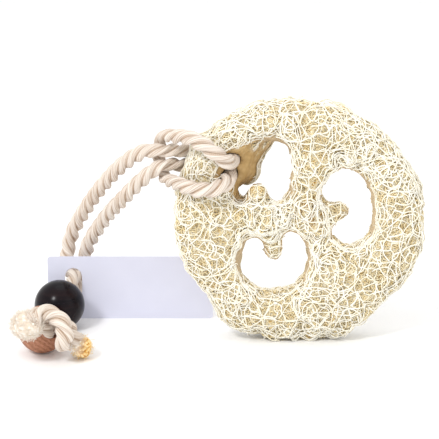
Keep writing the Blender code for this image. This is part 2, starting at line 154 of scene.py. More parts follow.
# Fibre colours: pale, deep and stained. The deep colour is partly a tone that differs at random
# and partly painted shade in the hollows and on the strands' undersides.
FIBRE_COLOURS = {"golden": ((0.97, 0.87, 0.60), (0.93, 0.74, 0.38), (0.68, 0.42, 0.12)),
                 "cream": ((0.97, 0.92, 0.75), (0.95, 0.81, 0.50), (0.80, 0.60, 0.28)),
                 "white": ((0.97, 0.95, 0.88), (0.95, 0.87, 0.66), (0.90, 0.78, 0.52))}
PORES_A_METRE = 640

# Rope section: how far each strand's middle is from the rope's, and its radius, as shares of the rope's.
STRAND_OUT = 0.5
STRAND_WIDE = 0.5
# Where the section reaches less far than CREASE_FROM, painted shade darkens it into the crease between
# strands.
CREASE_FROM = 0.76
CREASE_FADE = 0.26
CREASE_SHADE = 0.85

# Beads: middles in millimetres, and the way that each bore runs.
DARK_CENTRE = (-105.7, 12.0, 11.1)
DARK_RADIUS = 11.1 * MM
DARK_BORE_ALONG = (-0.42, -0.87, -0.26)
BROWN_CENTRE = (-110.1, -20.2, 10.1)
BROWN_RADIUS = 10.1 * MM
BROWN_BORE_ALONG = (0.55, -0.76, 0.35)
BORE_RADIUS = 4.6 * MM
BORE_EASE = 0.5 * MM

# The rope's frayed end and the golden tuft at its far end: balls of tight curls with fibres that
# stand off them. Centres and reaches are in millimetres. FRAY_CREAM and TUFT_LIT_CREAM say how cream a
# ball is: a share, and how that share grows along x and z; on the tuft it grows towards the upper left
# as painted light over the amber. The fibres' colours are pale, deep and stained, and the deep colour
# is also painted shade on each fibre's underside.
FRAY_CENTRE = (-114.0, -40.2, 18.4)
FRAY_REACH = (6.6, 4.6, 6.0)
FRAY_CREAM = (1, 0, 0)
FRAY_FIBRES = 1100
FRAY_COLOURS = ((0.95, 0.90, 0.83), (0.88, 0.78, 0.66), (0.78, 0.62, 0.46))
TUFT_CENTRE = (-92.9, -29.0, 5.2)
TUFT_REACH = (4.7, 4.7, 4.7)
TUFT_LIT_CREAM = (0.45, -0.8, 0.35)
TUFT_FIBRES = 180
TUFT_COLOURS = ((0.95, 0.80, 0.50), (0.88, 0.62, 0.26), (0.62, 0.34, 0.09))
CURLS = 150
CURL_SIZE = 1.1 * MM
CURL_HEIGHT = 0.7 * MM

# Light: each lamp's name, its place, where it points, its size and its power.
WORLD_LIGHT = 1.0
LAMPS = [("key", (-0.55, -0.75, 0.85), (-0.02, 0, 0.05), 0.22, 6),
         ("fill", (0.8, -0.5, 0.5), (0, 0, 0.05), 0.8, 0.8),
         ("top", (-0.05, 0.25, 1.1), (0, 0, 0.03), 0.7, 1)]


def deselect():
    bpy.ops.object.select_all(action='DESELECT')


def choose(obj):
    """Makes the object the only one selected, and the active one."""
    deselect()
    obj.select_set(True)
    bpy.context.view_layer.objects.active = obj


def apply_modifiers(obj):
    choose(obj)
    for modifier in list(obj.modifiers):
        bpy.ops.object.modifier_apply(modifier=modifier.name)


def piece(obj, slot, *nodes):
    """A finished piece: its place goes into its mesh, and it stands for these nodes."""
    choose(obj)
    bpy.ops.object.transform_apply(location=True, rotation=True, scale=True)
    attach(obj, "root")
    if nodes:
        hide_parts(*nodes)
    return obj


# Materials

def new_material(name, roughness, sheen=0.0):
    """A material with its shader, ready for nodes."""
    material = bpy.data.materials.new(name)
    material.use_nodes = True
    shader = material.node_tree.nodes["Principled BSDF"]
    shader.inputs["Roughness"].default_value = roughness
    shader.inputs["Sheen Weight"].default_value = sheen
    return material, shader


def node(material, kind, **inputs):
    """A shader node with these inputs, by name; a link where the value is a socket."""
    made = material.node_tree.nodes.new(kind)
    for name, value in inputs.items():
        socket = made.inputs[name.replace("_", " ")]
        if isinstance(value, bpy.types.NodeSocket):
            material.node_tree.links.new(value, socket)
        else:
            socket.default_value = value
    return made


def link(material, source, target):
    material.node_tree.links.new(source, target)


def object_places(material):
    return material.node_tree.nodes.new("ShaderNodeTexCoord").outputs["Object"]


def noise(material, vector, scale, detail=2.0, distortion=0.0):
    made = node(material, "ShaderNodeTexNoise", Vector=vector, Scale=scale, Detail=detail,
                Distortion=distortion)
    return made.outputs["Fac"]


def attribute(material, name, output="Fac"):
    made = material.node_tree.nodes.new("ShaderNodeAttribute")
    made.attribute_name = name
    return made.outputs[output]


def ramp(material, factor, *stops):
    """Colours by a factor: each stop is a place from 0 to 1 and a colour."""
    made = material.node_tree.nodes.new("ShaderNodeValToRGB")
    elements = made.color_ramp.elements
    while len(elements) < len(stops):
        elements.new(0.5)
    for element, (place, colour) in zip(elements, stops):
        element.position = place
        element.color = (*colour, 1)
    link(material, factor, made.inputs["Fac"])
    return made.outputs["Color"]


def mix(material, factor, low, high, how='MIX'):
    made = material.node_tree.nodes.new("ShaderNodeMix")
    made.data_type = 'RGBA'
    made.blend_type = how
    for socket, value in ((made.inputs[0], factor), (made.inputs[6], low), (made.inputs[7], high)):
        if isinstance(value, bpy.types.NodeSocket):
            link(material, value, socket)
        elif isinstance(value, tuple):
            socket.default_value = (*value, 1)
        else:
            socket.default_value = value
    return made.outputs[2]


def maths(material, how, a, b):
    made = material.node_tree.nodes.new("ShaderNodeMath")
    made.operation = how
    for socket, value in zip(made.inputs, (a, b)):
        if isinstance(value, bpy.types.NodeSocket):
            link(material, value, socket)
        else:
            socket.default_value = value
    return made.outputs[0]


def bump(material, shader, height, strength, distance):
    made = node(material, "ShaderNodeBump", Height=height, Strength=strength, Distance=distance)
    link(material, made.outputs["Normal"], shader.inputs["Normal"])


def fibre_material(name, pale, deep, stain):
    """Dry plant fibre: pale, fibre by fibre a little different, with painted shade in the hollows and
    under each strand.
    """
    material, shader = new_material(name, 0.72, 0.1)
    places = object_places(material)
    patch = noise(material, places, 90, 3)
    grain = noise(material, places, 900, 3)
    own = attribute(material, "tint")
    blend = maths(material, 'ADD', maths(material, 'MULTIPLY', patch, 0.7),
                  maths(material, 'MULTIPLY', own, 0.45))
    colour = ramp(material, blend, (0.22, deep), (0.58, pale))
    # Painted shade: the deep colour in the hollows and on the undersides of strands.
    colour = mix(material, maths(material, 'MULTIPLY', attribute(material, "hollow_and_shade"), 0.8), colour, deep)
    spots = ramp(material, noise(material, places, 260, 2), (0.6, (0, 0, 0)), (0.72, (1, 1, 1)))
    stained = mix(material, maths(material, 'MULTIPLY', spots, 0.3), colour, stain)
    link(material, stained, shader.inputs["Base Color"])
    bump(material, shader, grain, 0.3, 0.15 * MM)
    return material


def core_material():
    """The mat between the nets, a pale web round golden pores, and the dimpled tan chamber wall. The web
    and pores darken towards each pore's middle, with dark brown holes there: painted shade, stronger in
    the hollows and at the hub.
    """
    material, shader = new_material("loofah_core", 0.85)
    places = object_places(material)
    wandering = node(material, "ShaderNodeTexNoise", Vector=places, Scale=700, Detail=2)
    bent = mix(material, 0.0009, places, wandering.outputs["Color"], 'ADD')
    pores = node(material, "ShaderNodeTexVoronoi", Vector=bent, Scale=PORES_A_METRE)
    pores.feature = 'DISTANCE_TO_EDGE'
    edge = pores.outputs["Distance"]
    # Painted shade: each pore grows darker and more golden towards its middle.
    pore_shade_colour = ramp(material, edge, (0.03, (0.92, 0.85, 0.66)), (0.12, (0.86, 0.72, 0.42)),
                       (0.30, (0.70, 0.49, 0.18)))
    web_colour = ramp(material, edge, (0.03, (0.93, 0.88, 0.74)), (0.25, (0.88, 0.77, 0.52)))
    hollow_and_shade = attribute(material, "hollow_and_shade")
    patch = noise(material, places, 70, 3)
    pore_shade_share = maths(material, 'MULTIPLY', hollow_and_shade, maths(material, 'ADD', patch, 0.45))
    mat = mix(material, pore_shade_share, web_colour, pore_shade_colour)
    own = node(material, "ShaderNodeTexVoronoi", Vector=bent, Scale=PORES_A_METRE)
    likely = maths(material, 'MULTIPLY', own.outputs["Color"], hollow_and_shade)
    likely = maths(material, 'ADD', likely, maths(material, 'MULTIPLY', attribute(material, "hub"), 0.4))
    # Painted shade: dark brown holes in the middles of pores, more of them in the hollows and at the hub.
    dark_hole_shade = maths(material, 'MULTIPLY', maths(material, 'GREATER_THAN', likely, 0.6),
                 maths(material, 'GREATER_THAN', edge, 0.10))
    mat = mix(material, maths(material, 'MULTIPLY', dark_hole_shade, 0.85), mat, (0.58, 0.30, 0.05))
    dimples = node(material, "ShaderNodeTexVoronoi", Vector=bent, Scale=430)
    tan = ramp(material, dimples.outputs["Distance"], (0.1, (0.60, 0.41, 0.18)),
               (0.7, (0.44, 0.27, 0.09)))
    tan = mix(material, maths(material, 'MULTIPLY', noise(material, places, 45, 2), 0.6), tan,
              (0.66, 0.48, 0.24))
    tan = mix(material, attribute(material, "upper"), (0.60, 0.47, 0.30), tan)
    wall = attribute(material, "wall")
    link(material, mix(material, wall, mat, tan), shader.inputs["Base Color"])
    web_height = ramp(material, edge, (0.0, (1, 1, 1)), (0.28, (0, 0, 0)))
    height = mix(material, wall, web_height, dimples.outputs["Distance"])
    bump(material, shader, height, 0.7, 0.5 * MM)
    return material


def cotton_material():
    """Twisted cotton: fine yarns along the rope, with painted shade, a soft brown, in the creases between
    strands.
    """
    material, shader = new_material("cotton", 0.9, 0.2)
    wrap = attribute(material, "wrap", "Vector")
    stretched = node(material, "ShaderNodeMapping", Vector=wrap, Scale=(0.8, 9, 9))
    yarn = noise(material, stretched.outputs["Vector"], 1.0, 3, 0.4)
    crease_shade = attribute(material, "crease_shade")
    patch = noise(material, object_places(material), 120, 3)
    cream = ramp(material, yarn, (0.36, (0.46, 0.33, 0.23)), (0.48, (0.74, 0.64, 0.55)),
                 (0.60, (0.88, 0.81, 0.73)))
    cream = mix(material, maths(material, 'MULTIPLY', patch, 0.25), cream, (0.78, 0.66, 0.55))
    # Painted shade: the rope turns soft brown in the creases between strands.
    colour = mix(material, crease_shade, cream, (0.42, 0.25, 0.13))
    link(material, colour, shader.inputs["Base Color"])
    bump(material, shader, yarn, 0.9, 0.5 * MM)
    return material


def tuft_material():
    """Tight curls: amber on one side and cream on the other, by the side value, and brown between the
    curls as painted shade. On the golden tuft the cream side is painted light from the upper left.
    """
    material, shader = new_material("golden_tuft", 0.85, 0.2)
    places = object_places(material)
    curl = attribute(material, "curl")
    side = attribute(material, "side")
    grain = noise(material, places, 1500, 3)
    # Painted shade: both ramps darken to brown between the curls, where curl is low.
    amber = ramp(material, curl, (0.1, (0.50, 0.22, 0.03)), (0.5, (0.85, 0.50, 0.13)),
                 (0.9, (0.95, 0.74, 0.36)))
    cream = ramp(material, curl, (0.1, (0.82, 0.71, 0.58)), (0.5, (0.90, 0.83, 0.74)),
                 (0.9, (0.94, 0.90, 0.84)))
    link(material, mix(material, side, amber, cream), shader.inputs["Base Color"])
    bump(material, shader, grain, 0.6, 0.3 * MM)
    return material


def gloss_material():
    """A dark coat over wood, with the faintest trace of brown."""
    material, shader = new_material("dark_gloss", 0.22)
    shader.inputs["Specular IOR Level"].default_value = 0.14
    places = object_places(material)
    streak = node(material, "ShaderNodeMapping", Vector=places, Scale=(60, 60, 420))
    grain = noise(material, streak.outputs["Vector"], 1.0, 3)
    colour = ramp(material, grain, (0.35, (0.003, 0.002, 0.004)), (0.7, (0.014, 0.007, 0.008)))
    link(material, colour, shader.inputs["Base Color"])
    bump(material, shader, noise(material, places, 420, 3), 0.12, 0.1 * MM)
    return material


def wood_material():
    """Bare reddish-brown wood with faint rings and short dark pores."""
    material, shader = new_material("bare_wood", 0.6)
    places = object_places(material)
    turned = node(material, "ShaderNodeMapping", Vector=places, Rotation=(0.5, 0.9, 0.2))
    rings = material.node_tree.nodes.new("ShaderNodeTexWave")
    rings.wave_type = 'BANDS'
    link(material, turned.outputs["Vector"], rings.inputs["Vector"])
    rings.inputs["Scale"].default_value = 170
    rings.inputs["Distortion"].default_value = 4
    rings.inputs["Detail"].default_value = 3
    rings.inputs["Detail Scale"].default_value = 1.5
    colour = ramp(material, rings.outputs["Fac"], (0.1, (0.36, 0.15, 0.075)), (0.9, (0.47, 0.21, 0.12)))
    fine = node(material, "ShaderNodeMapping", Vector=turned.outputs["Vector"],
                Scale=(3600, 700, 700))
    pores = noise(material, fine.outputs["Vector"], 1.0, 3)
    dark = ramp(material, pores, (0.33, (0.52, 0.42, 0.38)), (0.5, (1, 1, 1)))
    colour = mix(material, 1.0, colour, dark, 'MULTIPLY')
    link(material, colour, shader.inputs["Base Color"])
    bump(material, shader, pores, 0.3, 0.1 * MM)
    return material


def card_material():
    """Pale lavender card with the faint tooth of paper."""
    material, shader = new_material("card", 0.7)
    places = object_places(material)
    tooth = noise(material, places, 1500, 4)
    cloud = noise(material, places, 60, 2)
    colour = ramp(material, cloud, (0.3, (0.66, 0.67, 0.79)), (0.7, (0.69, 0.70, 0.82)))
    colour = mix(material, maths(material, 'MULTIPLY', tooth, 0.12), colour, (0.60, 0.60, 0.72))
    link(material, colour, shader.inputs["Base Color"])
    bump(material, shader, tooth, 0.25, 0.05 * MM)
    return material


# The rope's centre line

def between(p, q, t_p, t_q, t):
    return (p * (t_q - t) + q * (t - t_p)) / (t_q - t_p)


def curve_through(points, steps):
    """A centripetal Catmull-Rom curve through the points, with so many steps in each interval."""
    pts = np.array(points, dtype=float)
    padded = np.vstack([2 * pts[0] - pts[1], pts, 2 * pts[-1] - pts[-2]])
    out = []
    for a, b, c, d in zip(padded, padded[1:], padded[2:], padded[3:]):
        gaps = [np.sqrt(np.linalg.norm(q - p)) for p, q in ((a, b), (b, c), (c, d))]
        t0, t1, t2, t3 = np.concatenate([[0], np.cumsum(gaps)])
        for step in range(steps):
            t = t1 + (t2 - t1) * step / steps
            ab, bc, cd = between(a, b, t0, t1, t), between(b, c, t1, t2, t), between(c, d, t2, t3, t)
            abc, bcd = between(ab, bc, t0, t2, t), between(bc, cd, t1, t3, t)
            out.append(between(abc, bcd, t1, t2, t))
    out.append(pts[-1])
    return np.array(out)


def rope_line():
    """Places and radii along the rope in metres, ROPE_STEP apart."""
    fine = curve_through(NEAR_END + NEAR_BEADS + NEAR_TAIL + HITCH + FAR_TAIL + FAR_BEADS + FAR_END, 16)
    fine[:, 0] += TO_MIDDLE
    fine *= MM
    run = np.concatenate([[0], np.cumsum(np.linalg.norm(np.diff(fine[:, :3], axis=0), axis=1))])
    even = np.linspace(0, run[-1], int(run[-1] / ROPE_STEP))
    return np.column_stack([np.interp(even, run, fine[:, k]) for k in range(4)]), run[-1]


def unit(vectors):
    return vectors / np.maximum(np.linalg.norm(vectors, axis=-1, keepdims=True), 1e-12)


def carried_frames(line):
    """Two directions square to the line at each point, carried along it without a twist."""
    ahead = unit(np.gradient(line, axis=0))
    side = unit(np.cross(ahead[0], UP))
    sides = []
    for heading in ahead:
        side = unit(side - heading * np.dot(side, heading))
        sides.append(side)
    sides = np.array(sides)
    return ahead, sides, np.cross(ahead, sides)


# Strands

def strands(name, paths, normals, radii, sides, tints, hollow_and_shade=0.0):
    """One mesh of closed strands. paths and normals are (strand, point, xyz); radii and hollow_and_shade,
    how deep in a hollow each point lies, which sets its painted shade, are (strand, point). The
    underside of every strand gets painted shade too."""
    count, points = radii.shape
    ahead = unit(np.gradient(paths, axis=1))
    across = unit(np.cross(ahead, normals))
    outward = np.cross(across, ahead)
    turn = np.arange(sides) * 2 * pi / sides
    ring = (outward[:, :, None] * np.cos(turn)[None, None, :, None]
            + across[:, :, None] * np.sin(turn)[None, None, :, None])
    verts = (paths[:, :, None] + ring * radii[:, :, None, None]).reshape(-1, 3)
    first = np.arange(count)[:, None, None] * points * sides
    level = np.arange(points - 1)[None, :, None] * sides
    here = np.arange(sides)[None, None, :]
    after = (here + 1) % sides
    quads = np.stack([first + level + here, first + level + after, first + level + sides + after,
                      first + level + sides + here], axis=-1).reshape(-1, 4)
    starts = (np.arange(count) * points * sides)[:, None] + np.arange(sides)[None, ::-1]
    ends = (np.arange(count) * points * sides + (points - 1) * sides)[:, None] + np.arange(sides)[None]
    mesh = bpy.data.meshes.new(name)
    mesh.from_pydata(verts.tolist(), [], quads[:, ::-1].tolist() + starts[:, ::-1].tolist()
                     + ends[:, ::-1].tolist())
    give(mesh, "tint", np.repeat(tints, points * sides))
    # Painted shade on the underside of every strand, added to the shade of the hollow it lies in.
    under = UNDERSIDE_SHADE * (1 - np.cos(turn)) / 2
    painted_shade_share = np.clip(np.broadcast_to(hollow_and_shade, radii.shape)[:, :, None] + under, 0, 1)
    give(mesh, "hollow_and_shade", painted_shade_share.ravel())
    return shown(name, mesh)


def give(mesh, name, values):
    """A value at each point of the mesh, which its material reads by this name."""
    mesh.attributes.new(name, 'FLOAT', 'POINT').data.foreach_set("value", values)


def shown(name, mesh):
    mesh.shade_smooth()
    obj = bpy.data.objects.new(name, mesh)
    bpy.context.scene.collection.objects.link(obj)
    return obj


# Loofah

def in_set_order(mesh):
    """The same four-sided mesh with its corners and faces sorted by place, so that no run differs."""
    places = np.array([vert.co for vert in mesh.vertices])
    faces = np.array([face.vertices[:] for face in mesh.polygons])
    order = np.lexsort(np.round(places, 6).T)
    rank = np.empty(len(order), dtype=int)
    rank[order] = np.arange(len(order))
    faces = rank[faces]
    first = faces.argmin(axis=1)
    faces = faces[np.arange(len(faces))[:, None], (first[:, None] + np.arange(4)) % 4]
    faces = faces[np.lexsort(faces.T[::-1])]
    ordered = bpy.data.meshes.new(mesh.name)
    ordered.from_pydata(places[order].tolist(), [], faces.tolist())
    return ordered


def smooth_loofah():
    """The loofah's solid with its net smoothed away and grown back to its outer size."""
    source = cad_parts["loofah"]
    obj = shown("loofah_core", source.data.copy())
    balls = []
    for row, along, (step_x, step_z) in ADDED:
        for i, y in enumerate(along):
            for x, z, radius in row:
                deselect()
                place = Vector((x + TO_MIDDLE + i * step_x, y, z + i * step_z)) * MM
                bpy.ops.mesh.primitive_ico_sphere_add(subdivisions=3, radius=radius * MM, location=place)
                balls.append(bpy.context.active_object)
    choose(obj)
    for ball in balls:
        ball.select_set(True)
    bpy.ops.object.join()
    weld = obj.modifiers.new("weld", 'WELD')
    weld.merge_threshold = 0.01 * MM
    remesh = obj.modifiers.new("even", 'REMESH')
    remesh.mode = 'VOXEL'
    remesh.voxel_size = BASE_VOXEL
    smooth = obj.modifiers.new("smooth", 'SMOOTH')
    smooth.iterations = BASE_SMOOTHING
    apply_modifiers(obj)
    obj.data = in_set_order(obj.data)
    places, facing, _ = surface_of(obj.data)
    places = places + facing * BASE_GROWTH
    inward = unit(np.array(SLICE_MIDDLE) - places[:, [0, 2]])
    flatter = FLAT_RIM_DEPTH * nearness(places, FLAT_RIM, FLAT_RIM_REACH)
    places[:, [0, 2]] += inward * flatter[:, None]
    obj.data.vertices.foreach_set("co", places.ravel())
    obj.data.update()
    return obj


def surface_of(mesh):
    """A mesh's places, the way that it faces there, and its triangles."""
    places = np.empty(len(mesh.vertices) * 3)
    mesh.vertices.foreach_get("co", places)
    facing = np.empty(len(mesh.vertices) * 3)
    mesh.vertex_normals.foreach_get("vector", facing)
    mesh.calc_loop_triangles()
    triangles = np.empty(len(mesh.loop_triangles) * 3, dtype=np.int32)
    mesh.loop_triangles.foreach_get("vertices", triangles)
    return places.reshape(-1, 3), facing.reshape(-1, 3), triangles.reshape(-1, 3)


def ease(x):
    x = np.clip(x, 0, 1)
    return x * x * (3 - 2 * x)


def from_middle(places):
    """How far each place is from the slice's middle line."""
    return np.hypot(places[..., 0] - SLICE_MIDDLE[0], places[..., 2] - SLICE_MIDDLE[1])


def nearness(places, spot, reach):
    """1 at a spot of the slice, x and z, and falling off around it."""
    away = np.hypot(places[..., 0] - spot[0], places[..., 2] - spot[1])
    return np.exp(-(away / reach) ** 2)


def wall_share(places, facing):
    """1 on the walls in the chambers, 0 on the faces, the lips, the rim and where a wall faces up.
    The wall of the upper chamber begins nearer to its mouth."""
    upper = nearness(places, UPPER_WALL, UPPER_WALL_REACH)
    inside = ease((WALL_FROM + UPPER_WALL_MORE * upper - np.abs(places[..., 1])) / WALL_FADE)
    steep = np.maximum(ease((0.8 - np.abs(facing[..., 1])) / 0.3), ease((upper - 0.35) / 0.3))
    not_upward = np.maximum(ease((0.75 - facing[..., 2]) / 0.4), ease(2 * upper))
    return inside * steep * not_upward * ease((RIM_FROM - from_middle(places)) / (2 * MM))


def hollow_shares(places, tree):
    """0 under the strands of the coarse net, 1 in the middle of the cells between them."""
    away = np.array([tree.find(place)[2] for place in places.reshape(-1, 3).tolist()])
    return ease((away - HOLLOW_EDGE) / HOLLOW_SLOPE).reshape(places.shape[:-1])


def dips(places, facing):
    """How far the front is sunk at the deep pockets that show there."""
    depth = np.zeros(places.shape[:-1])
    for x, z, wide, deep in POCKETS:
        away = np.hypot(places[..., 0] - x * MM, places[..., 2] - z * MM)
        depth += deep * MM * np.exp(-(away / (wide * MM)) ** 2)
    return depth * ease(-facing[..., 1] * 2)


def from_rope(places, rope, tree):
    """How far each place is from the rope's surface, and the way straight out of the rope."""
    gap = np.full(len(places), 1.0)
    out = np.zeros((len(places), 3))
    for i in np.where(places[:, 0] < ROPE_REACH)[0]:
        _, index, away = tree.find(places[i])
        gap[i] = away - rope[index, 3]
        out[i] = (places[i] - rope[index, :3]) / max(away, 1e-9)
    return gap, out


def shares(places, cells, rng):
    """Which of so many cells each place belongs to, with the cells evened out a little."""
    sites = places[rng.choice(len(places), cells, replace=False)]
    for sweep in range(CELL_SWEEPS + 1):
        tree = KDTree(cells)
        for i, site in enumerate(sites.tolist()):
            tree.insert(site, i)
        tree.balance()
        owner = np.array([tree.find(place)[1] for place in places.tolist()])
        if sweep < CELL_SWEEPS:
            sites = mean_by(owner, places, cells, sites)
    return owner


def mean_by(owner, values, count, empty):
    """The mean of the values that each owner holds."""
    total = np.zeros((count, 3))
    np.add.at(total, owner, values)
    held = np.bincount(owner, minlength=count)[:, None]
    return np.where(held > 0, total / np.maximum(held, 1), empty)


def net_paths(surface, cells, points, rng):
    """The borders between cells of the surface, as curved paths, and the way each point faces."""
    places, facing, triangles = surface
    trio = np.sort(shares(places, cells, rng)[triangles], axis=1)
    middles = places[triangles].mean(axis=1)
    ways = facing[triangles].mean(axis=1)
    kinds = 1 + (trio[:, 0] != trio[:, 1]) + (trio[:, 1] != trio[:, 2])
    knots, which = np.unique(trio[kinds == 3], axis=0, return_inverse=True)
    which = which.reshape(-1)
    knot_place = mean_by(which, middles[kinds == 3], len(knots), 0)
    knot_way = mean_by(which, ways[kinds == 3], len(knots), 0)
    pairs = np.concatenate([knots[:, [0, 1]], knots[:, [0, 2]], knots[:, [1, 2]]])
    code = pairs[:, 0].astype(np.int64) * cells + pairs[:, 1]
    order = np.argsort(code, kind='stable')
    ends = np.tile(np.arange(len(knots)), 3)[order]
    border, start, count = np.unique(code[order], return_index=True, return_counts=True)
    border, start = border[count == 2], start[count == 2]
    a, b = ends[start], ends[start + 1]
    two = kinds == 2
    along = trio[two, 0].astype(np.int64) * cells + trio[two, 2]
    index = np.clip(np.searchsorted(border, along), 0, len(border) - 1)
    held = border[index] == along
    straight = (knot_place[a] + knot_place[b]) / 2
    middle = mean_by(index[held], middles[two][held], len(border), straight)
    t = np.linspace(0, 1, points)[None, :, None]
    paths = (knot_place[a][:, None] * (1 - t) * (1 - 2 * t) + middle[:, None] * 4 * t * (1 - t)
             + knot_place[b][:, None] * t * (2 * t - 1))
    facing_there = unit(knot_way[a][:, None] * (1 - t) + knot_way[b][:, None] * t)
    lengths = np.linalg.norm(knot_place[a] - knot_place[b], axis=1)
    sound = (lengths < 4 * lengths.mean()) & (lengths > 0.1 * lengths.mean())
    return paths[sound], facing_there[sound]


def net_route(surface, rope, rope_tree, cells, points, seed):
    """The paths of a net over the loofah, ragged where a chamber's wall begins, and how they face."""
    rng = np.random.default_rng(seed)
    paths, facing = net_paths(surface, cells, points, rng)
    middle = points // 2
    keep = wall_share(paths[:, middle], facing[:, middle]) < rng.uniform(0.3, 0.7, len(paths))
    gap, _ = from_rope(paths[:, middle], rope, rope_tree)
    keep &= (gap > ROPE_EASE) & (paths[:, :, 2].min(axis=1) > ROPE_EASE)
    return paths[keep], facing[keep]


def net(name, route, coarse_tree, sides, thick, depth, bulge, sway, gone, hub_gone, seed):
    """Strands along a net's route, thickest at its knots. depth is how far they lie inside, under the
    coarse strands and in the hollows between them; bulge and sway bend them out and sideways; gone is
    the share of them that is left out, and hub_gone the further share at the hub."""
    rng = np.random.default_rng(seed)
    paths, facing = route
    count, points = paths.shape[:2]
    t = np.linspace(0, 1, points)[None, :]
    hollow_and_shade = hollow_shares(paths, coarse_tree)
    rise = bulge * rng.uniform(-0.3, 1, (count, 1)) * np.sin(pi * t)
    rise = rise - depth[0] - (depth[1] - depth[0]) * hollow_and_shade - dips(paths, facing)
    across = unit(np.cross(facing, np.gradient(paths, axis=1)))
    aside = sway * rng.normal(size=(count, 1)) * np.sin(pi * t)
    paths = paths + facing * rise[:, :, None] + across * aside[:, :, None]
    own = np.clip(rng.lognormal(0, 0.28, (count, 1)), 0.6, 1.7)
    radii = thick * own * (0.75 + 0.55 * (2 * t - 1) ** 2)
    sparse = hub_gone * nearness(paths[:, points // 2], HUB, HUB_REACH)
    keep = rng.random(count) > gone + sparse
    return strands(name, paths[keep], facing[keep], radii[keep], sides, rng.random(keep.sum()),
                   hollow_and_shade[keep])


def walked(tree, start, heading, steps, along, rng):
    """A fibre's places over the surface. along is how strongly it keeps to the slice's round."""
    place, way, *_ = tree.find_nearest(start)
    heading = Vector(heading)
    curl = rng.normal(0, FIBRE_CURL)
    places, ways = [], []
    for _ in range(steps):
        curl = 0.85 * curl + rng.normal(0, FIBRE_CURL / 2)
        round_way = way.cross(Vector(ACROSS_SLICE))
        if round_way.dot(heading) < 0:
            round_way = -round_way
        heading = heading * (1 - along) + round_way * along + way.cross(heading) * curl
        heading = (heading - way * heading.dot(way)).normalized()
        place, way, *_ = tree.find_nearest(place + heading * FIBRE_STEP)
        places.append(place[:])
        ways.append(way[:])
    return np.array(places), np.array(ways)


def fibres(name, surface, rope, rope_tree, count, chosen, along, lift, thick, seed):
    """Long loose fibres that run over the nets, from starts on the chosen part of the surface. lift
    is the least and the most that they rise off it."""
    rng = np.random.default_rng(seed)
    places, facing, triangles = surface
    tree = BVHTree.FromPolygons(places.tolist(), triangles.tolist())
    starts = rng.choice(np.where(chosen)[0], count)
    bits, ways, sizes = [], [], []
    for start in starts:
        heading = unit(np.cross(facing[start], rng.normal(size=3)))
        steps = FIBRE_BIT * int(rng.integers(3, 9))
        path, way = walked(tree, places[start], heading, steps + 1, along, rng)
        run = np.arange(steps + 1) * FIBRE_STEP
        wave = 0.5 + 0.5 * np.sin(run / rng.uniform(3, 8) / MM + rng.uniform(0, 6))
        rise = lift[0] + (lift[1] - lift[0]) * wave * rng.random()
        path = path + way * (rise - dips(path, way) * 0.5)[:, None]
        for first in range(0, steps, FIBRE_BIT):
            bits.append(path[first:first + FIBRE_BIT + 1])
            ways.append(way[first:first + FIBRE_BIT + 1])
            sizes.append(thick * rng.uniform(0.8, 1.25))
    bits, ways = np.array(bits), np.array(ways)
    gap = from_rope(bits[:, FIBRE_BIT // 2], rope, rope_tree)[0]
    keep = (gap > thick) & (bits[:, :, 2].min(axis=1) > thick)
    keep &= wall_share(bits[:, FIBRE_BIT // 2], ways[:, FIBRE_BIT // 2]) < 0.75
    radii = np.array(sizes)[keep][:, None] * np.ones((1, FIBRE_BIT + 1))
    return strands(name, bits[keep], ways[keep], radii, 4, rng.random(keep.sum()))


def shape_core(core, rope, rope_tree, coarse_tree):
    """Sinks the core below the nets, except on the chamber walls, and keeps it off the rope."""
    places, facing, _ = surface_of(core.data)
    wall = wall_share(places, facing)
    hollow_and_shade = hollow_shares(places, coarse_tree)
    rough = np.sin(places @ ROUGH_WAVES + 2 * np.sin(places @ ROUGH_WAVES[:, ::-1])).sum(axis=1) / 3
    hub = nearness(places, HUB, HUB_REACH)
    depth = CORE_DEPTH + (HOLLOW_DEPTH + HUB_DEPTH * hub) * hollow_and_shade + dips(places, facing)
    depth = depth + ROUGH_DEPTH * rough
    depth = depth * (1 - wall) + BASE_GROWTH / 2 * wall
    places = places - facing * depth[:, None]
    gap, out = from_rope(places, rope, rope_tree)
    places += out * np.maximum(ROPE_EASE - gap, 0)[:, None]
    places[:, 2] = np.maximum(places[:, 2], 0)
    core.data.vertices.foreach_set("co", places.ravel())
    core.data.update()
    # hollow_and_shade and hub set the core's painted shade in its pores.
    give(core.data, "wall", wall)
    give(core.data, "hollow_and_shade", hollow_and_shade)
    give(core.data, "hub", hub)
    give(core.data, "upper", ease(2 * nearness(places, UPPER_WALL, UPPER_WALL_REACH)))


def tree_of(points):
    tree = KDTree(len(points))
    for i, point in enumerate(points.tolist()):
        tree.insert(point, i)
    tree.balance()
    return tree


